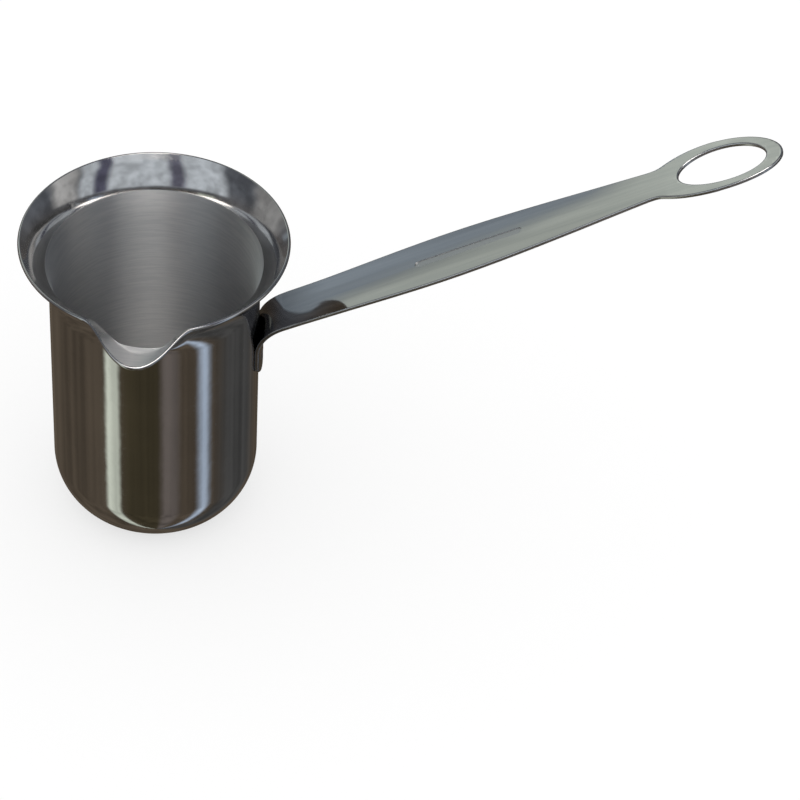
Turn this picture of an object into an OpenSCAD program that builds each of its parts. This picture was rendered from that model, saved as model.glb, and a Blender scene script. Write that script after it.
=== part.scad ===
// Small long-handled melting pot: a drawn steel pot with a flared rim and a
// pressed pouring spout, and a stamped strip handle that is spot-welded to it.
// The origin is the centre of the base's resting face, on the pot's axis.
// +Z is up, the handle points along +X and the spout close to -Y.

/* [Pot] */
// Outer radius of the straight wall
pot_r = 29; // [27:0.5:30]
// Height of the rim above the resting face
pot_h = 94; // [92:0.5:110]
// Thickness of the drawn sheet
wall = 1; // [0.8:0.1:1.2]
// Radius of the slow curve in which the wall runs into the base
corner_upper_r = 19.5; // [16:0.5:22]
// Radius of the tight curve that ends in the resting face
corner_lower_r = 7.5; // [5:0.5:9]
// Steepness, from the upright, at which the slow curve gives way to the tight one
corner_turn = 46; // [40:1:50]

/* [Rim] */
// Outer radius of the flared rim
rim_r = 37.2; // [36:0.2:40]
// Angle of the flare from the upright
flare_angle = 50; // [45:1:54]
// Outer radius of the slow bend in which the wall turns into the flare
neck_bend_r = 19; // [14:0.5:21]

/* [Spout] */
// Distance of the spout's tip from the pot's axis
spout_reach = 46; // [42:0.5:48]
// How far the tip dips below the rim
spout_drop = 5; // [2:0.5:6]
// Half of the angle that the spout takes up on the rim
spout_spread = 24; // [20:1:30]
// Direction of the spout, with the handle at 0 and the left side at 90
spout_dir = -93.2; // [-100:0.2:-85]
// Depth below the rim of the crease at which the spout's ramp leaves the wall
crease_depth = 14; // [12:0.5:15]

/* [Handle] */
// Thickness of the stamped strip
strip_t = 1.2; // [1:0.1:1.5]
// Height of the welded tab's lower end
tab_z = 50; // [48:0.5:50.5]
// Radius of the tab's lower corners
tab_corner_r = 5; // [3:0.5:6]
// Height at which the strip leaves the wall
bend_z = 59.2; // [58.6:0.2:62]
// Inner radius of the bend at the root
bend_r = 10.8; // [9:0.2:12]
// Slope of the strip above the level
strip_slope = 27.9; // [24:0.1:32]
// Width at the root
root_w = 15; // [13:0.5:16]
// Width at the widest place of the grip
grip_w = 18.2; // [17:0.1:20]
// Distance of the widest place from the pot's axis
grip_x = 79; // [70:1:90]
// Width that the taper reaches in the middle of the eye
taper_w = 8.5; // [7:0.5:10]
// Distance from the pot's axis at which the strip starts to level out
sag_x = 136; // [130:1:140]
// Radius of the curve in which it levels out
sag_r = 181; // [150:1:250]

/* [Hanging eye] */
// Distance of the eye's middle from the pot's axis
eye_x = 148.7; // [146:0.1:152]
// Level length of the eye
eye_l = 34.2; // [32:0.2:36]
// Width of the eye
eye_w = 19.3; // [18:0.1:21]
// Distance of the hole's middle from the pot's axis
hole_x = 150.3; // [149.5:0.1:151]
// Level length of the hole
hole_l = 22.4; // [20:0.2:24]
// Width of the hole
hole_w = 13.6; // [12:0.1:14]

/* [Spot welds] */
// Radius of a weld nugget
nugget_r = 1.8; // [1.5:0.1:2.2]
// Distance between the two upper nuggets
nugget_gap = 7.6; // [6:0.2:8]
// Height of the two upper nuggets
nugget_upper_z = 56.4; // [56:0.1:56.8]
// Height of the lower nugget
nugget_lower_z = 52.4; // [52:0.1:52.8]

/* [Hidden] */
$fn = 96;
tiny = 0.02;

// Pot: levels and radii that follow from the sizes above
arc_steps = 8;
lower_drop = corner_lower_r * (1 - sin(corner_turn));
corner_h = corner_upper_r * sin(corner_turn) + lower_drop;
corner_mid_r = pot_r - corner_upper_r * (1 - cos(corner_turn));
flat_r = corner_mid_r - corner_lower_r * cos(corner_turn);
edge_z = pot_h - wall * sin(flare_angle);
cone_r = pot_r + neck_bend_r * (1 - cos(flare_angle));
cone_z = edge_z - (rim_r - cone_r) / tan(flare_angle);
neck_z = cone_z - neck_bend_r * sin(flare_angle);
collar_z = min(neck_z, pot_h - crease_depth) - 1;
ramp_slope = atan2(edge_z - spout_drop - pot_h + crease_depth, spout_reach - pot_r);

// Points of the body's section at an inset from the outer skin, from the axis outward
function slow_arc(inset) = [
    for (i = [0 : arc_steps])
        let (a = corner_turn * (1 - i / arc_steps), r = corner_upper_r - inset)
        [pot_r - corner_upper_r + r * cos(a), corner_h - r * sin(a)]
];
function tight_arc(inset) = [
    for (i = [0 : arc_steps - 1])
        let (a = 90 + (corner_turn - 90) * i / arc_steps, r = corner_lower_r - inset)
        [flat_r + r * cos(a), corner_lower_r - r * sin(a)]
];
function skin(inset) = concat(
    [[0, inset]], tight_arc(inset), slow_arc(inset), [[pot_r - inset, collar_z]]
);
function reversed(list) = [for (i = [len(list) - 1 : -1 : 0]) list[i]];

// Collar: rows of the section from the channel's start up to the rim, at an inset
neck_steps = 6;
function collar_rows(inset) = concat(
    [for (i = [0 : 2]) [pot_r - inset, collar_z + (neck_z - collar_z) * i / 3]],
    [for (i = [0 : neck_steps])
        let (a = flare_angle * i / neck_steps, r = neck_bend_r + inset)
        [pot_r + neck_bend_r - r * cos(a), neck_z + r * sin(a)]],
    [for (i = [1 : 2])
        let (t = i / 2, n = [-cos(flare_angle), sin(flare_angle)])
        [cone_r + (rim_r - cone_r) * t, cone_z + (edge_z - cone_z) * t] + inset * n]
);

// Length along a section up to its point k
function run(p, k) = k == 0 ? 0 : run(p, k - 1) + norm(p[k] - p[k - 1]);
// The spout's own section: up the wall to the crease, then a straight ramp to the tip
function spout_row(f, inset) =
    let (foot = [pot_r - inset, collar_z], crease = [pot_r - inset, pot_h - crease_depth])
    let (tip = [spout_reach - inset * sin(ramp_slope), edge_z - spout_drop + inset * cos(ramp_slope)])
    let (up = crease[1] - foot[1], out = norm(tip - crease), d = f * (up + out))
    d < up ? foot + [0, d] : crease + (tip - crease) * (d - up) / out;
// Share of the spout's section at an angle from the spout's middle
function bell(angle) =
    abs(angle) >= spout_spread ? 0 : (1 + cos(180 * angle / spout_spread)) / 2;
function collar_point(flare_row, spout_row, turn) =
    let (p = flare_row + bell(turn) * (spout_row - flare_row), a = turn + spout_dir)
    [p[0] * cos(a), p[0] * sin(a), p[1]];

collar_sides = 96;
// The lowest row is a little narrower than the wall, so that the two meet cleanly
function seam(row, inset) = [row[0] + (inset > 0 ? 2 * tiny : -tiny), row[1]];
// Pairs of a flare row and the spout row that it turns into
function row_pairs(inset) =
    let (rows = collar_rows(inset), last = len(rows) - 1, length = run(rows, last))
    [for (k = [0 : last])
        k == 0
            ? [seam(rows[0], inset), seam(rows[0], inset)]
            : [rows[k], spout_row(run(rows, k) / length, inset)]];

module collar() {
    loop = concat(row_pairs(0), reversed(row_pairs(wall)));
    rows = len(loop);
    points = [
        for (pair = loop)
            for (i = [0 : collar_sides - 1])
                collar_point(pair[0], pair[1], (i * 360 / collar_sides + 180) % 360 - 180)
    ];
    faces = [
        for (k = [0 : rows - 1])
            for (i = [0 : collar_sides - 1])
                let (a = k * collar_sides, b = ((k + 1) % rows) * collar_sides)
                let (j = (i + 1) % collar_sides)
                each [[a + i, b + i, b + j], [a + i, b + j, a + j]]
    ];
    polyhedron(points, faces);
}

// Handle: the strip's upper face, which lies on the wall along the tab
outer_bend_r = bend_r + strip_t;
bend_turn = 90 - strip_slope;
bend_end_x = pot_r + tiny + outer_bend_r * (1 - cos(bend_turn));
bend_end_z = bend_z + outer_bend_r * sin(bend_turn);
sag_z = bend_end_z + (sag_x - bend_end_x) * tan(strip_slope);
sag_centre_x = sag_x + sag_r * sin(strip_slope);
sag_centre_z = sag_z - sag_r * cos(strip_slope);

function smooth(t) = let (u = max(0, min(1, t))) u * u * (3 - 2 * u);
function strip_z(x) = x <= sag_x
    ? bend_end_z + (x - bend_end_x) * tan(strip_slope)
    : sag_centre_z + sqrt(pow(sag_r, 2) - pow(x - sag_centre_x, 2));
function slope_at(x) = x <= sag_x ? strip_slope : asin((sag_centre_x - x) / sag_r);
function strip_half(x) = x <= grip_x
    ? (root_w + (grip_w - root_w) * smooth((x - bend_end_x) / (grip_x - bend_end_x))) / 2
    : (grip_w + (taper_w - grip_w) * smooth((x - grip_x) / (hole_x + 6 - grip_x))) / 2;
function eye_half(x) =
    let (u = (x - eye_x) / (eye_l / 2))
    abs(u) >= 1 ? 0 : eye_w / 2 * sqrt(1 - u * u);
// The wider of strip and eye, with a soft corner between them
function outline_half(x) =
    let (s = x > eye_x ? 0 : strip_half(x), e = eye_half(x))
    (s + e + sqrt(pow(s - e, 2) + (x > eye_x ? 0 : 1.5))) / 2;

// A station is [x, z, slope, half width, how far it follows the wall's curve]
tab_steps = 5;
bend_steps = 6;
grip_steps = 16;
eye_steps = 24;
eye_start = eye_x - eye_l / 2;
tab_stations = [
    for (i = [0 : tab_steps])
        let (a = 90 * i / tab_steps)
        [pot_r + tiny, tab_z + tab_corner_r * (1 - cos(a)), 90,
            root_w / 2 - tab_corner_r * (1 - sin(a)), 1]
];
bend_stations = [
    for (i = [0 : bend_steps])
        let (a = bend_turn * i / bend_steps)
        [pot_r + tiny + outer_bend_r * (1 - cos(a)), bend_z + outer_bend_r * sin(a), 90 - a,
            root_w / 2, 1 - smooth(i / bend_steps)]
];
grip_stations = [
    for (i = [1 : grip_steps])
        let (x = bend_end_x + (eye_start - bend_end_x) * i / grip_steps)
        [x, strip_z(x), slope_at(x), outline_half(x), 0]
];
eye_stations = [
    for (i = [1 : eye_steps])
        let (a = 176 * i / eye_steps, x = eye_x - eye_l / 2 * cos(a))
        [x, strip_z(x), slope_at(x), outline_half(x), 0]
];
stations = concat(tab_stations, bend_stations, grip_stations, eye_stations);

across = 8;
// Corner j of a station, on the upper face at depth 0 or on the under face at depth strip_t
function strip_point(s, j, depth) =
    let (y = s[3] * (2 * j / across - 1))
    let (d = depth - s[4] * (pot_r - sqrt(pow(pot_r, 2) - y * y)))
    [s[0] + d * sin(s[2]), y, s[1] - d * cos(s[2])];

module strip() {
    ring = 2 * (across + 1);
    last = len(stations) - 1;
    points = [
        for (s = stations)
            each concat(
                [for (j = [0 : across]) strip_point(s, j, 0)],
                [for (j = [across : -1 : 0]) strip_point(s, j, strip_t)]
            )
    ];
    sides = [
        for (k = [0 : last - 1])
            for (i = [0 : ring - 1])
                let (a = k * ring, b = a + ring, j = (i + 1) % ring)
                each [[a + i, b + j, b + i], [a + i, a + j, b + j]]
    ];
    ends = [
        for (j = [0 : across - 1])
            let (far = last * ring, m = ring - 1)
            each [
                [j, m - j, j + 1], [j + 1, m - j, m - j - 1],
                [far + j, far + j + 1, far + m - j], [far + j + 1, far + m - j - 1, far + m - j]
            ]
    ];
    polyhedron(points, concat(sides, ends));
}

hole_slope = slope_at(hole_x);
hole_sides = 48;
module hanging_hole() {
    reach = 4 * strip_t;
    outline = [
        for (i = [0 : hole_sides - 1])
            let (a = 360 * i / hole_sides)
            [hole_l / 2 / cos(hole_slope) * cos(a), hole_w / 2 * sin(a)]
    ];
    translate([hole_x, 0, strip_z(hole_x)])
        rotate([0, -hole_slope, 0])
            translate([0, 0, -reach])
                linear_extrude(2 * reach) polygon(outline);
}

// The columns of fused metal, from the pot's inner face to the tab's outer face
module nugget_columns() {
    for (p = [[-nugget_gap / 2, nugget_upper_z], [nugget_gap / 2, nugget_upper_z], [0, nugget_lower_z]])
        translate([pot_r - 3 * wall, p[0], p[1]])
            rotate([0, 90, 0])
                cylinder(h = 6 * wall, r = nugget_r);
}

module pot_body() {
    color([0.62, 0.6, 0.58])
        difference() {
            union() {
                rotate_extrude() polygon(concat(skin(0), reversed(skin(wall))));
                collar();
            }
            nugget_columns();
        }
}

module handle() {
    color([0.7, 0.71, 0.71])
        difference() {
            strip();
            hanging_hole();
            nugget_columns();
        }
}

module weld_nuggets() {
    color([0.55, 0.55, 0.55])
        intersection() {
            nugget_columns();
            difference() {
                translate([0, 0, tab_z]) cylinder(h = bend_z - tab_z, r = pot_r + strip_t);
                translate([0, 0, tab_z - 1]) cylinder(h = bend_z - tab_z + 2, r = pot_r - wall);
            }
        }
}

pot_body();
handle();
weld_nuggets();
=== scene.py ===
"""Looks of the small steel melting pot.

It is a drawn pot with a flared rim and a spout, and a spot-welded strip handle.

Lengths are in millimetres until a mesh is made. MM turns them into the frame's metres.
"""

from math import asin, atan2, ceil, cos, hypot, pi, radians, sin, sqrt, tan

import bmesh
import bpy
import numpy as np
from mathutils import Matrix, Vector


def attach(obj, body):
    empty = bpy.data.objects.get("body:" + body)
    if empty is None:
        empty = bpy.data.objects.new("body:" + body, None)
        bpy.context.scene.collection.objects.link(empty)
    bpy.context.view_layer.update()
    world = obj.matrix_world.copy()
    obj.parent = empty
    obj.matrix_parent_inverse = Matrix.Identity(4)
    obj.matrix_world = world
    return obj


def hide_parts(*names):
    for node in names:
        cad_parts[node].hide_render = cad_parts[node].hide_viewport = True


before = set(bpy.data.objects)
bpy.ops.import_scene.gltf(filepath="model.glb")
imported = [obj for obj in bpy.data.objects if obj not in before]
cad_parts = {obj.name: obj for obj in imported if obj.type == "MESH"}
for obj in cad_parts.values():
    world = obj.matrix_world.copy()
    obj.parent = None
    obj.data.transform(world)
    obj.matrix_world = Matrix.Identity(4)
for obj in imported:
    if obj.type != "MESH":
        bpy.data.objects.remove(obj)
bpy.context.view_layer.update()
MM = 0.001

# ---------------------------------------------------------------- sizes, as in the CAD design
POT_R = 29.0
POT_H = 94.0
WALL = 1.0
CORNER_UPPER_R = 19.5
CORNER_LOWER_R = 7.5
CORNER_TURN = radians(46)
RIM_R = 37.2
FLARE = radians(50)
NECK_BEND_R = 19.0
SPOUT_REACH = 46.0
SPOUT_DROP = 5.0
SPOUT_SPREAD = radians(24)
SPOUT_DIR = radians(-93.2)
CREASE_DEPTH = 14.0
STRIP_T = 1.2
TAB_Z = 50.0
TAB_CORNER_R = 5.0
BEND_Z = 59.2
BEND_R = 10.8
STRIP_SLOPE = radians(27.9)
ROOT_W, GRIP_W, TAPER_W = 15.0, 18.2, 8.5
GRIP_X = 79.0
SAG_X, SAG_R = 136.0, 181.0
EYE_X, EYE_L, EYE_W = 148.7, 34.2, 19.3
HOLE_X, HOLE_L, HOLE_W = 150.3, 22.4, 13.6
NUGGETS = [(-3.8, 56.4), (3.8, 56.4), (0.0, 52.4)]
NUGGET_R = 1.8
TINY = 0.02

# Pot: levels and radii that follow
CORNER_H = CORNER_UPPER_R * sin(CORNER_TURN) + CORNER_LOWER_R * (1 - sin(CORNER_TURN))
FLAT_R = POT_R - CORNER_UPPER_R * (1 - cos(CORNER_TURN)) - CORNER_LOWER_R * cos(CORNER_TURN)
EDGE_Z = POT_H - WALL * sin(FLARE)
CONE_R = POT_R + NECK_BEND_R * (1 - cos(FLARE))
CONE_Z = EDGE_Z - (RIM_R - CONE_R) / tan(FLARE)
NECK_Z = CONE_Z - NECK_BEND_R * sin(FLARE)
COLLAR_Z = min(NECK_Z, POT_H - CREASE_DEPTH) - 1
RAMP = atan2(EDGE_Z - SPOUT_DROP - POT_H + CREASE_DEPTH, SPOUT_REACH - POT_R)

# Handle: the path of the strip's upper face
OUTER_BEND_R = BEND_R + STRIP_T
BEND_TURN = pi / 2 - STRIP_SLOPE
BEND_END_X = POT_R + TINY + OUTER_BEND_R * (1 - cos(BEND_TURN))
BEND_END_Z = BEND_Z + OUTER_BEND_R * sin(BEND_TURN)
TAB_L = BEND_Z - TAB_Z
BEND_L = OUTER_BEND_R * BEND_TURN
GRIP_L = (SAG_X - BEND_END_X) / cos(STRIP_SLOPE)

# Fine shape of the looks only, and how many columns the pot's mesh has
COLUMNS = 480
SATIN_TOP = POT_H - 8.2
EDGE_ROUND = 0.42
STAMP_DEPTH = 0.24
CROWN = 0.22


# ---------------------------------------------------------------- camera
CAMERA_AIM = Vector((69.3, 0.0, 37.2)) * MM
CAMERA_DISTANCE = 952.9 * MM
CAMERA_AZIMUTH, CAMERA_ELEVATION, CAMERA_ROLL = radians(-1.63), radians(44.21), radians(3.67)
CAMERA_LENS = 151.3


def add_camera():
    back = Vector((
        sin(CAMERA_AZIMUTH) * cos(CAMERA_ELEVATION),
        -cos(CAMERA_AZIMUTH) * cos(CAMERA_ELEVATION),
        sin(CAMERA_ELEVATION),
    ))
    camera = bpy.data.objects.new("camera", bpy.data.cameras.new("camera"))
    bpy.context.scene.collection.objects.link(camera)
    camera.location = CAMERA_AIM + back * CAMERA_DISTANCE
    camera.rotation_mode = "QUATERNION"
    level = (-back).to_track_quat("-Z", "Y")
    roll = Matrix.Rotation(CAMERA_ROLL, 4, "Z").to_quaternion()
    camera.rotation_quaternion = level @ roll
    camera.data.lens = CAMERA_LENS
    camera.data.sensor_width = 36
    camera.data.clip_start, camera.data.clip_end = 0.05, 20
    bpy.context.scene.camera = camera


# ---------------------------------------------------------------- mesh helpers
def new_object(name, mesh):
    piece = bpy.data.objects.new(name, mesh)
    bpy.context.scene.collection.objects.link(piece)
    return piece


def revolve_grid(name, rows, satin):
    """A closed skin from rows of points round the axis, whose first and last rows are single points.

    The satin share of each point goes into a mesh attribute of that name.
    """
    count = len(rows[1])
    points = [rows[0][0]] + [p for row in rows[1:-1] for p in row] + [rows[-1][0]]
    faces = []
    for k in range(len(rows) - 3):
        a, b = 1 + k * count, 1 + (k + 1) * count
        faces += [(a + i, a + (i + 1) % count, b + (i + 1) % count, b + i) for i in range(count)]
    last_row, end = 1 + (len(rows) - 3) * count, len(points) - 1
    faces += [(0, 1 + (i + 1) % count, 1 + i) for i in range(count)]
    faces += [(end, last_row + i, last_row + (i + 1) % count) for i in range(count)]
    mesh = bpy.data.meshes.new(name)
    mesh.from_pydata([tuple(c * MM for c in p) for p in points], [], faces)
    shares = [satin[0][0]] + [share for row in satin[1:-1] for share in row] + [satin[-1][0]]
    mesh.attributes.new("satin", "FLOAT", "POINT").data.foreach_set("value", shares)
    tidy_normals(mesh)
    mesh.polygons.foreach_set("use_smooth", [True] * len(mesh.polygons))
    return new_object(name, mesh)


def tidy_normals(mesh):
    bm = bmesh.new()
    bm.from_mesh(mesh)
    bmesh.ops.recalc_face_normals(bm, faces=bm.faces)
    bm.to_mesh(mesh)
    bm.free()


def smooth(t):
    u = min(1.0, max(0.0, t))
    return u * u * (3 - 2 * u)


# ---------------------------------------------------------------- pot
def arc(centre, radius, start, stop, step):
    """Points of an arc in the section, as (distance from the axis, height), without the last one."""
    count = max(2, ceil(abs(stop - start) * radius / step))
    angles = [start + (stop - start) * i / count for i in range(count)]
    return [(centre[0] + radius * cos(a), centre[1] + radius * sin(a)) for a in angles]


def line(start, stop, step):
    """Points of a straight stretch in the section, without the last one."""
    count = max(1, ceil(hypot(stop[0] - start[0], stop[1] - start[1]) / step))
    return [
        (start[0] + (stop[0] - start[0]) * i / count, start[1] + (stop[1] - start[1]) * i / count)
        for i in range(count)
    ]


def body_section(inset):
    """The skin from the axis to the collar's foot, at an inset from the outer skin."""
    low, high = CORNER_LOWER_R - inset, CORNER_UPPER_R - inset
    tight_centre = (FLAT_R, CORNER_LOWER_R)
    slow_centre = (POT_R - CORNER_UPPER_R, CORNER_H)
    return (
        line((0, inset), (FLAT_R, inset), 1.5)
        + arc(tight_centre, low, -pi / 2, -CORNER_TURN, 0.5)
        + arc(slow_centre, high, -CORNER_TURN, 0, 0.7)
        + line((POT_R - inset, CORNER_H), (POT_R - inset, TAB_Z), 2.0)
        + line((POT_R - inset, TAB_Z), (POT_R - inset, BEND_Z), 0.4)
        + line((POT_R - inset, BEND_Z), (POT_R - inset, COLLAR_Z), 1.5)
    )


def flare_path(inset):
    """The collar's plain section as a fine polyline."""
    neck_centre = (POT_R + NECK_BEND_R, NECK_Z)
    top = (RIM_R - inset * cos(FLARE), EDGE_Z + inset * sin(FLARE))
    cone = (CONE_R - inset * cos(FLARE), CONE_Z + inset * sin(FLARE))
    return (
        line((POT_R - inset, COLLAR_Z), (POT_R - inset, NECK_Z), 0.4)
        + arc(neck_centre, NECK_BEND_R + inset, pi, pi - FLARE, 0.3)
        + line(cone, top, 0.4)
        + [top]
    )


def spout_point(f, inset):
    """A point of the spout's own section at a share f of its length: up the wall, then a ramp to the tip."""
    foot = np.array((POT_R - inset, COLLAR_Z))
    crease = np.array((POT_R - inset, POT_H - CREASE_DEPTH))
    tip = np.array((
        SPOUT_REACH - inset * sin(RAMP),
        EDGE_Z - SPOUT_DROP + inset * cos(RAMP),
    ))
    up, out = np.linalg.norm(crease - foot), np.linalg.norm(tip - crease)
    soft = 1.3
    d = f * (up + out)
    along = (tip - crease) / out
    if d < up - soft:
        return foot + np.array((0, d))
    if d > up + soft:
        return crease + along * (d - up)
    t = (d - up + soft) / (2 * soft)
    start, end = crease - np.array((0, soft)), crease + along * soft
    return (1 - t) ** 2 * start + 2 * t * (1 - t) * crease + t * t * end


def bell(turn):
    """Share of the spout's section at an angle from the spout's middle."""
    return 0.0 if abs(turn) >= SPOUT_SPREAD else (1 + cos(pi * turn / SPOUT_SPREAD)) / 2


def collar_section(inset):
    """Pairs of a plain point and the spout point that it turns into, from the foot to the rim."""
    path = flare_path(inset)
    steps = [hypot(b[0] - a[0], b[1] - a[1]) for a, b in zip(path, path[1:])]
    lengths = np.concatenate([[0], np.cumsum(steps)])
    return [(np.array(p), spout_point(s / lengths[-1], inset)) for p, s in zip(path, lengths)]


def rim_nose(outer, inner, steps=8, bulge=0.35):
    """Rounds the sheet's cut edge: half an ellipse from the outer rim point to the inner one."""
    pairs = []
    for i in range(steps + 1):
        a = -pi / 2 + pi * i / steps
        pair = []
        for o, n in zip(outer, inner):
            middle, half = (o + n) / 2, (o - n) / 2
            along = np.array((half[1], -half[0])) / np.linalg.norm(half)
            along = along if along[0] > 0 else -along
            pair.append(middle - half * sin(a) + along * bulge * (cos(a) - 1))
        pairs.append(tuple(pair))
    return pairs


def dimple(y, z, depth, radius):
    """Depth of the pressed marks round the spot welds at a place on the wall."""
    return sum(depth * (1 - smooth((hypot(y - ny, z - nz) - radius + 0.5) / 0.9)) for ny, nz in NUGGETS)


def build_pot():
    outer = [(np.array(p), np.array(p)) for p in body_section(0)] + collar_section(0)
    inner = [(np.array(p), np.array(p)) for p in body_section(WALL)] + collar_section(WALL)
    nose = rim_nose(outer.pop(), inner.pop())
    section = outer + nose + inner[::-1]
    first_inner = len(outer) + len(nose)
    rows, satin = [], []
    for k, (plain, spout) in enumerate(section):
        row, satin_row = [], []
        inner_share = 0.0 if k < first_inner else 1 - smooth((plain[1] - SATIN_TOP + 0.35) / 0.7)
        ramp_share = 0.0 if k < first_inner else 0.8
        for i in range(COLUMNS):
            turn = 2 * pi * i / COLUMNS
            share = bell((turn - SPOUT_DIR + pi) % (2 * pi) - pi)
            satin_row.append(max(inner_share, ramp_share * smooth(share * 1.6)))
            r, z = plain + (spout - plain) * share
            if k >= first_inner and abs(turn - (0 if turn < pi else 2 * pi)) < 0.3 and TAB_Z < z < BEND_Z:
                r += dimple(r * sin(turn), z, 0.3, NUGGET_R)
            row.append((r * cos(turn), r * sin(turn), z))
        rows.append(row)
        satin.append(satin_row)
    return revolve_grid("pot_shell", rows, satin)


# ---------------------------------------------------------------- handle
def strip_half(x):
    if x <= GRIP_X:
        return (ROOT_W + (GRIP_W - ROOT_W) * smooth((x - BEND_END_X) / (GRIP_X - BEND_END_X))) / 2
    return (GRIP_W + (TAPER_W - GRIP_W) * smooth((x - GRIP_X) / (HOLE_X + 6 - GRIP_X))) / 2


def outline_half(x):
    u = (x - EYE_X) / (EYE_L / 2)
    eye = 0 if abs(u) >= 1 else EYE_W / 2 * sqrt(1 - u * u)
    if x > EYE_X:
        return eye
    strip = strip_half(x)
    return (strip + eye + sqrt((strip - eye) ** 2 + 1.5)) / 2


def run_at(x):
    """Length along the strip from the tab's lower end to a level distance x from the axis."""
    if x <= SAG_X:
        return TAB_L + BEND_L + (x - BEND_END_X) / cos(STRIP_SLOPE)
    slope = asin(sin(STRIP_SLOPE) - (x - SAG_X) / SAG_R)
    return TAB_L + BEND_L + GRIP_L + SAG_R * (STRIP_SLOPE - slope)


def station(s):
    """Place and slope of the strip's upper face at a length s, and how far it follows the wall's curve."""
    if s <= TAB_L:
        return POT_R + TINY, TAB_Z + s, pi / 2, 1.0
    if s <= TAB_L + BEND_L:
        a = (s - TAB_L) / OUTER_BEND_R
        x = POT_R + TINY + OUTER_BEND_R * (1 - cos(a))
        return x, BEND_Z + OUTER_BEND_R * sin(a), pi / 2 - a, 1 - smooth(a / BEND_TURN)
    d = s - TAB_L - BEND_L
    if d <= GRIP_L:
        x = BEND_END_X + d * cos(STRIP_SLOPE)
        return x, BEND_END_Z + d * sin(STRIP_SLOPE), STRIP_SLOPE, 0.0
    slope = STRIP_SLOPE - (d - GRIP_L) / SAG_R
    x = SAG_X + SAG_R * (sin(STRIP_SLOPE) - sin(slope))
    z = BEND_END_Z + GRIP_L * sin(STRIP_SLOPE) + SAG_R * (cos(slope) - cos(STRIP_SLOPE))
    return x, z, slope, 0.0


def strip_outline():
    """One half of the flat blank's outline, from the tab's lower end to the eye's tip."""
    corner = [
        (TAB_CORNER_R * (1 - cos(a)), ROOT_W / 2 - TAB_CORNER_R * (1 - sin(a)))
        for a in [pi / 2 * i / 10 for i in range(11)]
    ]
    straight = [(s, ROOT_W / 2) for s in np.linspace(TAB_CORNER_R + 1, TAB_L + BEND_L, 12)]
    sides = [(run_at(x), outline_half(x)) for x in np.arange(BEND_END_X + 1, EYE_X - EYE_L / 2, 1.0)]
    eye = []
    for i in range(1, 60):
        x = EYE_X - EYE_L / 2 * cos(pi * i / 60)
        eye.append((run_at(x), outline_half(x)))
    return corner + straight + sides + eye


def inset_loop(loop, distance):
    """Moves a closed loop of points by a distance to its left."""
    p = np.array(loop)
    step = np.roll(p, -1, 0) - np.roll(p, 1, 0)
    normal = np.stack([-step[:, 1], step[:, 0]], 1)
    normal /= np.linalg.norm(normal, axis=1)[:, None]
    return p + normal * distance


def blank_mesh():
    """The flat blank: outline and hole, with all its edges rounded, lying in the XY plane about z = 0."""
    half = strip_outline()
    tip = [(run_at(EYE_X + EYE_L / 2), 0.0)]
    outline = [(s, -y) for s, y in half] + tip + [(s, y) for s, y in half[::-1]]
    hole = []
    for i in range(96):
        a = 2 * pi * i / 96
        hole.append((run_at(HOLE_X + HOLE_L / 2 * cos(a)), -HOLE_W / 2 * sin(a)))
    curve = bpy.data.curves.new("blank", "CURVE")
    curve.dimensions = "2D"
    curve.fill_mode = "BOTH"
    for loop in (inset_loop(outline, EDGE_ROUND), inset_loop(hole, EDGE_ROUND)):
        spline = curve.splines.new("POLY")
        spline.points.add(len(loop) - 1)
        for point, (s, y) in zip(spline.points, loop):
            point.co = (s, y, 0, 1)
        spline.use_cyclic_u = True
    curve.extrude = STRIP_T / 2 - EDGE_ROUND
    curve.bevel_depth = EDGE_ROUND
    curve.bevel_resolution = 3
    blank = bpy.data.objects.new("blank", curve)
    bpy.context.scene.collection.objects.link(blank)
    bpy.context.view_layer.update()
    mesh = bpy.data.meshes.new_from_object(blank.evaluated_get(bpy.context.evaluated_depsgraph_get()))
    bpy.data.objects.remove(blank)
    bm = bmesh.new()
    bm.from_mesh(mesh)
    bmesh.ops.remove_doubles(bm, verts=bm.verts, dist=1e-4)
    bm.to_mesh(mesh)
    bm.free()
    return mesh


def add_prism(bm, loop, top, depth):
    """A closed prism over a loop of flat points, let in from above."""
    low, high = [
        [bm.verts.new((s, y, z)) for s, y in loop]
        for z in (top - depth, top + 0.5)
    ]
    count = len(loop)
    for i in range(count):
        j = (i + 1) % count
        bm.faces.new((low[i], low[j], high[j], high[i]))
    bm.faces.new(low)
    bm.faces.new(high)


def slot_loop(start, end, width, steps=12):
    """A long slot with round ends, along the strip."""
    loop = []
    for centre, first in ((end, -pi / 2), (start, pi / 2)):
        for i in range(steps + 1):
            a = first + pi * i / steps
            loop.append((centre + width / 2 * cos(a), width / 2 * sin(a)))
    return loop


def stamp_mesh():
    """One plain pressed slot along the middle of the grip."""
    bm = bmesh.new()
    add_prism(bm, slot_loop(run_at(72.0), run_at(98.0), 2.4), STRIP_T / 2, STAMP_DEPTH)
    bmesh.ops.recalc_face_normals(bm, faces=bm.faces)
    mesh = bpy.data.meshes.new("stamps")
    bm.to_mesh(mesh)
    bm.free()
    return mesh


def apply_modifiers(piece):
    dg = bpy.context.evaluated_depsgraph_get()
    mesh = bpy.data.meshes.new_from_object(piece.evaluated_get(dg))
    piece.modifiers.clear()
    piece.data = mesh


def cut_by(piece, mesh):
    tool = new_object("tool", mesh)
    modifier = piece.modifiers.new("cut", "BOOLEAN")
    modifier.operation = "DIFFERENCE"
    modifier.solver = "EXACT"
    modifier.object = tool
    bpy.context.view_layer.update()
    apply_modifiers(piece)
    bpy.data.objects.remove(tool)


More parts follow.
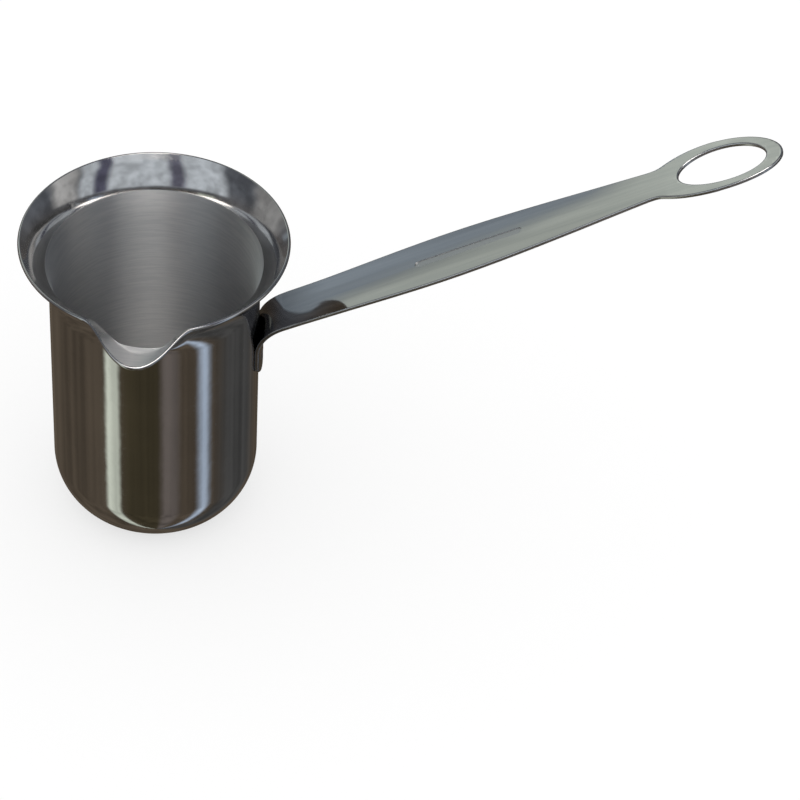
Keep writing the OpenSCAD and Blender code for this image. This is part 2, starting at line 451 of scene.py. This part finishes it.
def slice_mesh(bm, axis, places, limit=None):
    """Cuts every face along planes square to an axis, so that the flat blank can bend there."""
    normal = (1, 0, 0) if axis == 0 else (0, 1, 0)
    for place in places:
        if limit is None:
            geom = bm.verts[:] + bm.edges[:] + bm.faces[:]
        else:
            faces = [f for f in bm.faces if min(v.co.x for v in f.verts) < limit]
            edges = {e for f in faces for e in f.edges}
            verts = {v for f in faces for v in f.verts}
            geom = list(verts) + list(edges) + faces
        origin = (place, 0, 0) if axis == 0 else (0, place, 0)
        bmesh.ops.bisect_plane(bm, geom=geom, plane_co=origin, plane_no=normal, dist=1e-4)


def crown(x, y):
    """How far the faintly rounded grip lies below its middle line at a distance y from it."""
    share = smooth((x - BEND_END_X) / 12) * (1 - smooth((x - 112) / 22))
    return CROWN * share * (2 * y / GRIP_W) ** 2


def bend_point(co):
    """Takes a point of the flat blank to its place on the bent handle."""
    s, y, depth = co.x, co.y, STRIP_T / 2 - co.z
    x, z, slope, follow = station(s)
    if s < TAB_L and depth > STRIP_T / 2:
        depth -= dimple(y, TAB_Z + s, 0.3, NUGGET_R)
    depth += crown(x, y) - follow * (POT_R - sqrt(POT_R ** 2 - y * y))
    return Vector((x + depth * sin(slope), y, z - depth * cos(slope))) * MM


def build_handle():
    handle = new_object("handle_strip", blank_mesh())
    cut_by(handle, stamp_mesh())
    floor_z = STRIP_T / 2 - STAMP_DEPTH
    stamped = [
        1.0 if abs(v.co.z - floor_z) < 0.02 and v.co.x > TAB_L + BEND_L else 0.0
        for v in handle.data.vertices
    ]
    handle.data.attributes.new("stamped", "FLOAT", "POINT").data.foreach_set("value", stamped)
    bm = bmesh.new()
    bm.from_mesh(handle.data)
    total = run_at(EYE_X + EYE_L / 2)
    tab_end = TAB_L + BEND_L
    slice_mesh(bm, 0, np.arange(0.45, tab_end, 0.45))
    slice_mesh(bm, 0, np.arange(tab_end, total, 1.0))
    slice_mesh(bm, 1, np.arange(-7.2, 7.3, 0.6), limit=tab_end)
    for v in bm.verts:
        v.co = bend_point(v.co)
    bmesh.ops.recalc_face_normals(bm, faces=bm.faces)
    for e in bm.edges:
        e.smooth = len(e.link_faces) != 2 or e.calc_face_angle() < radians(42)
    for f in bm.faces:
        f.smooth = True
    bm.to_mesh(handle.data)
    bm.free()
    modifier = handle.modifiers.new("even_normals", "WEIGHTED_NORMAL")
    modifier.mode = "FACE_AREA"
    modifier.weight = 60
    modifier.keep_sharp = True
    return handle


# ---------------------------------------------------------------- spot welds
def build_nuggets():
    """Each nugget shows as a shallow pressed disc, on the tab's outer face and on the pot's inner face."""
    bm = bmesh.new()
    rings, sides = 7, 40
    for y0, z0 in NUGGETS:
        loops = []
        for face in (-1, 1):
            for k in range(rings, 0, -1) if face < 0 else range(1, rings + 1):
                r = NUGGET_R * k / rings
                sink = 0.17 - 0.05 * smooth((r - 1.1) / 0.7) + (0.12 if k == rings else 0)
                loop = []
                for i in range(sides):
                    a = 2 * pi * i / sides
                    y, z = y0 + r * cos(a), z0 + r * sin(a)
                    curve = sqrt((POT_R if face > 0 else POT_R - WALL) ** 2 - y * y)
                    x = curve + (STRIP_T - sink if face > 0 else sink)
                    loop.append(bm.verts.new(Vector((x, y, z)) * MM))
                loops.append((face, k, loop))
        inner = [l for f, k, l in loops if f < 0][::-1]
        outer = [l for f, k, l in loops if f > 0]
        chain = inner + outer[::-1]
        bm.faces.new(chain[0])
        for a, b in zip(chain, chain[1:]):
            for i in range(sides):
                j = (i + 1) % sides
                bm.faces.new((a[i], a[j], b[j], b[i]))
        bm.faces.new(chain[-1])
    bmesh.ops.recalc_face_normals(bm, faces=bm.faces)
    for f in bm.faces:
        f.smooth = True
    mesh = bpy.data.meshes.new("weld_marks")
    bm.to_mesh(mesh)
    bm.free()
    return new_object("weld_marks", mesh)


# ---------------------------------------------------------------- node helpers
class Nodes:
    """Short calls for building a node tree."""

    def __init__(self, tree):
        self.tree = tree
        tree.nodes.clear()

    def add(self, kind, inputs=None, **settings):
        node = self.tree.nodes.new(kind)
        for key, value in settings.items():
            setattr(node, key, value)
        for key, value in (inputs or {}).items():
            self.put(node, key, value)
        return node

    def put(self, node, key, value):
        if isinstance(value, bpy.types.Node):
            value = value.outputs[0]
        if isinstance(value, bpy.types.NodeSocket):
            self.tree.links.new(value, node.inputs[key])
        else:
            node.inputs[key].default_value = value

    def math(self, operation, *values):
        node = self.add("ShaderNodeMath", operation=operation)
        for i, value in enumerate(values):
            self.put(node, i, value)
        return node.outputs[0]

    def vector(self, operation, *values):
        node = self.add("ShaderNodeVectorMath", operation=operation)
        for i, value in enumerate(values):
            self.put(node, i, value)
        return node.outputs[0]

    def remap(self, value, low, high, to_low, to_high):
        node = self.add("ShaderNodeMapRange", {0: value, 1: low, 2: high, 3: to_low, 4: to_high})
        node.interpolation_type = "SMOOTHSTEP"
        return node.outputs[0]

    def noise(self, vector, scale, detail=2.0, roughness=0.5):
        node = self.add("ShaderNodeTexNoise", {"Vector": vector})
        node.inputs["Scale"].default_value = scale
        node.inputs["Detail"].default_value = detail
        node.inputs["Roughness"].default_value = roughness
        return node.outputs["Fac"]

    def stretch(self, vector, scale, rotation=(0, 0, 0)):
        node = self.add("ShaderNodeMapping", {"Vector": vector, "Scale": scale, "Rotation": rotation})
        return node.outputs[0]

    def mix_colour(self, factor, a, b, blend="MIX"):
        node = self.add("ShaderNodeMix", data_type="RGBA", blend_type=blend)
        self.put(node, 0, factor)
        self.put(node, 6, a)
        self.put(node, 7, b)
        return node.outputs[2]


def grey(value, warm=0.0):
    """A near-neutral colour: warm above 0 leans to brown, and below 0 to blue."""
    return (value * (1 + warm), value, value * (1 - warm))


# ---------------------------------------------------------------- materials
def shell_material():
    """Drawn steel: polished outside and on the flare, fine circular brushing inside."""
    material = bpy.data.materials.new("polished_steel")
    material.use_nodes = True
    n = Nodes(material.node_tree)
    place = n.add("ShaderNodeTexCoord").outputs["Object"]
    x, y, z = n.add("ShaderNodeSeparateXYZ", {0: place}).outputs
    radius = n.math("SQRT", n.math("ADD", n.math("MULTIPLY", x, x), n.math("MULTIPLY", y, y)))
    normal = n.add("ShaderNodeNewGeometry").outputs["Normal"]
    round_way = n.add("ShaderNodeCombineXYZ", {0: n.math("MULTIPLY", y, -1.0), 1: x}).outputs[0]
    across = n.vector("NORMALIZE", n.vector("CROSS_PRODUCT", round_way, normal))
    satin = n.add("ShaderNodeAttribute", attribute_name="satin").outputs["Fac"]
    polished = n.math("SUBTRACT", 1.0, satin)

    # Turned marks: noise that changes slowly round the pot and quickly along the section
    angle = n.math("ARCTAN2", y, x)
    section = n.math("SUBTRACT", z, radius)

    def turned(rate, round_rate, detail, seed):
        spot = n.add("ShaderNodeCombineXYZ", {
            0: n.math("MULTIPLY", angle, round_rate), 1: n.math("MULTIPLY", section, rate), 2: seed,
        })
        return n.noise(spot, 1.0, detail, 0.65)

    fine = turned(5200.0, 1.3, 3.0, 7.0)
    broad = turned(1500.0, 2.6, 3.0, 3.0)
    smudge = n.noise(place, 38.0, 4.0, 0.55)
    wave = n.noise(place, 150.0, 2.0, 0.5)
    speck = n.noise(place, 1900.0, 2.0, 0.5)

    # Stray scratches: thin lines where a slow noise crosses a level
    tilted = n.stretch(place, (180.0, 180.0, 800.0), (0.5, 0.3, 0.4))
    level = n.math("ABSOLUTE", n.math("SUBTRACT", n.noise(tilted, 0.3, 5.0, 0.7), 0.5))
    scratch = n.remap(level, 0.0, 0.0028, 1.0, 0.0)

    bare = n.mix_colour(n.remap(smudge, 0.35, 0.7, 0.0, 1.0), (*grey(0.57, 0.01), 1), (*grey(0.62, 0.015), 1))
    rub = n.remap(broad, 0.35, 0.65, 0.0, 1.0)
    brushed = n.mix_colour(rub, (*grey(0.60, -0.005), 1), (*grey(0.67, 0.005), 1))
    colour = n.mix_colour(satin, bare, brushed)

    rough_out = n.math("ADD", 0.075, n.math("MULTIPLY", n.math("SUBTRACT", smudge, 0.5), 0.08))
    rough_in = n.math("ADD", 0.58, n.math("MULTIPLY", n.math("SUBTRACT", broad, 0.5), 0.10))
    rough = n.math("ADD", n.math("MULTIPLY", rough_out, polished), n.math("MULTIPLY", rough_in, satin))
    rough = n.math("ADD", rough, n.math("MULTIPLY", scratch, 0.10))
    anisotropic = n.math("ADD", 0.45, n.math("MULTIPLY", satin, 0.5))

    grain = n.math("MULTIPLY", n.math("ADD", fine, n.math("MULTIPLY", broad, 0.6)), satin)
    skin = n.math("ADD", n.math("MULTIPLY", fine, 0.04), n.math("MULTIPLY", speck, 0.02))
    skin = n.math("MULTIPLY", skin, polished)
    height = n.math("SUBTRACT", n.math("ADD", grain, skin), n.math("MULTIPLY", scratch, 0.3))
    bump = n.add("ShaderNodeBump", {"Height": height, "Strength": 0.06, "Distance": 0.00003})
    swell = n.add("ShaderNodeBump", {"Height": wave, "Strength": 0.8, "Distance": 0.00004, "Normal": bump})
    shader = n.add("ShaderNodeBsdfPrincipled", {
        "Base Color": colour, "Metallic": 1.0, "Roughness": rough, "Normal": swell, "Tangent": across,
        "Anisotropic": anisotropic,
    })
    n.add("ShaderNodeOutputMaterial", {"Surface": shader})
    return material


def strip_material():
    """Stamped strip: bright steel with fine scratches along its length and duller sheared edges."""
    material = bpy.data.materials.new("satin_steel")
    material.use_nodes = True
    n = Nodes(material.node_tree)
    place = n.add("ShaderNodeTexCoord").outputs["Object"]
    normal = n.add("ShaderNodeNewGeometry").outputs["Normal"]
    along = n.stretch(place, (1.0, 1.0, 1.0), (0, STRIP_SLOPE, 0))
    grain = n.noise(n.stretch(along, (28.0, 3200.0, 60.0)), 1.0, 3.0, 0.65)
    streak = n.noise(n.stretch(along, (14.0, 420.0, 90.0)), 1.0, 3.0, 0.55)
    smudge = n.noise(place, 60.0, 4.0, 0.55)
    pits = n.noise(place, 1100.0, 2.0, 0.6)
    wave = n.noise(n.stretch(along, (50.0, 110.0, 110.0)), 1.0, 2.0, 0.5)
    side_part = n.add("ShaderNodeSeparateXYZ", {0: normal}).outputs[1]
    edge = n.remap(n.math("ABSOLUTE", side_part), 0.35, 0.8, 0.0, 1.0)
    rub = n.remap(streak, 0.35, 0.65, 0.0, 1.0)
    colour = n.mix_colour(rub, (*grey(0.60, 0.0), 1), (*grey(0.66, 0.01), 1))
    stamped = n.add("ShaderNodeAttribute", attribute_name="stamped").outputs["Fac"]
    # Painted shade: the strip's colour is pulled towards dark grey near its root, where the pot's wall and
    # the bend shade it
    run = n.add("ShaderNodeSeparateXYZ", {0: place}).outputs[0]
    heat_tint_and_painted_shade = n.remap(n.math("ADD", run, n.math("MULTIPLY", smudge, 0.008)), 0.035, 0.052, 0.6, 0.0)
    colour = n.mix_colour(heat_tint_and_painted_shade, colour, (0.17, 0.165, 0.17, 1))
    colour = n.mix_colour(n.math("MULTIPLY", stamped, 0.2), colour, (0.30, 0.31, 0.33, 1))
    rough = n.math("ADD", 0.065, n.math("MULTIPLY", n.math("SUBTRACT", smudge, 0.5), 0.06))
    rough = n.math("ADD", rough, n.math("MULTIPLY", edge, 0.22))
    rough = n.math("ADD", rough, n.math("MULTIPLY", stamped, 0.25))
    height = n.math("ADD", n.math("MULTIPLY", grain, 0.35), n.math("MULTIPLY", pits, 0.1))
    bump = n.add("ShaderNodeBump", {"Height": height, "Strength": 0.035, "Distance": 0.00003})
    swell = n.add("ShaderNodeBump", {"Height": wave, "Strength": 0.8, "Distance": 0.00003, "Normal": bump})
    side = n.add("ShaderNodeCombineXYZ", {1: 1.0}).outputs[0]
    shader = n.add("ShaderNodeBsdfPrincipled", {
        "Base Color": colour, "Metallic": 1.0, "Roughness": rough, "Normal": swell, "Tangent": side,
        "Anisotropic": 0.2,
    })
    n.add("ShaderNodeOutputMaterial", {"Surface": shader})
    return material


def weld_material():
    """Spot weld marks: dull pressed metal, faintly heat-tinted in patches."""
    material = bpy.data.materials.new("weld_steel")
    material.use_nodes = True
    n = Nodes(material.node_tree)
    place = n.add("ShaderNodeTexCoord").outputs["Object"]
    speckle = n.noise(place, 1500.0, 4.0, 0.6)
    heat_tint_and_painted_shade = n.noise(place, 350.0, 2.0, 0.5)
    heat = n.remap(heat_tint_and_painted_shade, 0.35, 0.65, 0.0, 1.0)
    colour = n.mix_colour(heat, (*grey(0.46, 0.06), 1), (*grey(0.55, -0.02), 1))
    rough = n.math("ADD", 0.34, n.math("MULTIPLY", n.math("SUBTRACT", speckle, 0.5), 0.25))
    bump = n.add("ShaderNodeBump", {"Height": speckle, "Strength": 0.35, "Distance": 0.00006})
    shader = n.add("ShaderNodeBsdfPrincipled", {
        "Base Color": colour, "Metallic": 1.0, "Roughness": rough, "Normal": bump,
    })
    n.add("ShaderNodeOutputMaterial", {"Surface": shader})
    return material


# ---------------------------------------------------------------- stage
# Soft boxes and dark flags round the pot: azimuth, half width, soft edge, elevations, colour
SOFT_BOXES = [
    (-100, 25, 10, -90, 10, (0.06, 0.05, 0.03)),
    (-70, 10, 5, -90, 10, (0.15, 0.13, 0.12)),
    (20, 30, 15, -90, 10, (0.07, 0.07, 0.07)),
    (-135, 8, 3, -90, 10, (0.7, 0.75, 0.65)),
    (-30, 6, 6, -90, 10, (0.5, 0.6, 0.75)),
    (-85, 70, 5, 15, 60, (0.6, 0.65, 0.7)),
    (-108, 7, 4, 15, 60, (0.15, 0.15, 0.2)),
    (-36, 7, 4, 15, 60, (0.1, 0.1, 0.15)),
    (0, 12, 5, 15, 60, (0.5, 0.5, 0.5)),
    (160, 15, 6, 5, 50, (0.3, 0.3, 0.3)),
    (120, 18, 3, 10, 24, (0.3, 0.35, 0.4)),
    (120, 18, 3, 24, 60, (0.6, 0.65, 0.6)),
    (-80, 50, 15, 62, 90, (5.0, 4.8, 4.6)),
]


def build_world():
    """White for the camera and for soft light; mirrors see a dim room with soft boxes in it."""
    world = bpy.data.worlds.new("studio")
    bpy.context.scene.world = world
    world.use_nodes = True
    n = Nodes(world.node_tree)
    way = n.add("ShaderNodeTexCoord").outputs["Generated"]
    x, y, z = n.add("ShaderNodeSeparateXYZ", {0: way}).outputs
    azimuth = n.math("MULTIPLY", n.math("ARCTAN2", y, x), 180 / pi)
    elevation = n.math("MULTIPLY", n.math("ARCSINE", z), 180 / pi)

    upper = n.remap(elevation, -20.0, 30.0, 0.0, 1.0)
    room = n.mix_colour(upper, (0.10, 0.08, 0.06, 1), (0.12, 0.13, 0.15, 1))
    for centre, half, soft, low, high, colour in SOFT_BOXES:
        away = n.math("ABSOLUTE", n.math("WRAP", n.math("SUBTRACT", azimuth, float(centre)), 180.0, -180.0))
        inside = n.remap(away, half - soft, half + soft, 1.0, 0.0)
        above = n.remap(elevation, low - 2.0, low + 2.0, 0.0 if low > -90 else 1.0, 1.0)
        below = n.remap(elevation, high - 2.0, high + 2.0, 1.0, 0.0 if high < 90 else 1.0)
        share = n.math("MULTIPLY", inside, n.math("MULTIPLY", above, below))
        room = n.mix_colour(share, room, (*colour, 1))
    folds = n.remap(n.noise(n.stretch(way, (5.0, 5.0, 2.0)), 1.0, 4.0, 0.6), 0.3, 0.7, 0.7, 1.3)
    room = n.vector("MULTIPLY", room, n.add("ShaderNodeCombineXYZ", {0: folds, 1: folds, 2: folds}))

    path = n.add("ShaderNodeLightPath")
    plain = n.add("ShaderNodeBackground", {"Color": (1.0, 1.0, 1.0, 1), "Strength": 1.0})
    mirrored = n.add("ShaderNodeBackground", {"Color": room, "Strength": 1.0})
    mix = n.add("ShaderNodeMixShader", {0: path.outputs["Is Glossy Ray"], 1: plain, 2: mirrored})
    n.add("ShaderNodeOutputWorld", {"Surface": mix})


def build_floor():
    mesh = bpy.data.meshes.new("floor")
    size = 3.0
    corners = [(-size, -size, 0), (size, -size, 0), (size, size, 0), (-size, size, 0)]
    mesh.from_pydata(corners, [], [(0, 1, 2, 3)])
    floor = new_object("floor", mesh)
    floor.location.z = -0.0002
    material = bpy.data.materials.new("pale_floor")
    material.use_nodes = True
    n = Nodes(material.node_tree)
    paint = n.add("ShaderNodeBsdfDiffuse", {"Color": (0.36, 0.36, 0.36, 1)})
    glow = n.add("ShaderNodeEmission", {"Color": (1.0, 1.0, 1.0, 1), "Strength": 0.66})
    shader = n.add("ShaderNodeAddShader", {0: paint, 1: glow})
    n.add("ShaderNodeOutputMaterial", {"Surface": shader})
    mesh.materials.append(material)
    floor.visible_glossy = False


# ---------------------------------------------------------------- the scene
add_camera()

pot = build_pot()
pot.data.materials.append(shell_material())
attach(pot, "root")
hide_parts("pot_body")

handle = build_handle()
handle.data.materials.clear()
handle.data.materials.append(strip_material())
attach(handle, "root")
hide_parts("handle")

welds = build_nuggets()
welds.data.materials.append(weld_material())
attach(welds, "root")
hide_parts("weld_nuggets")

build_world()
build_floor()
bpy.context.scene.view_settings.view_transform = "Standard"
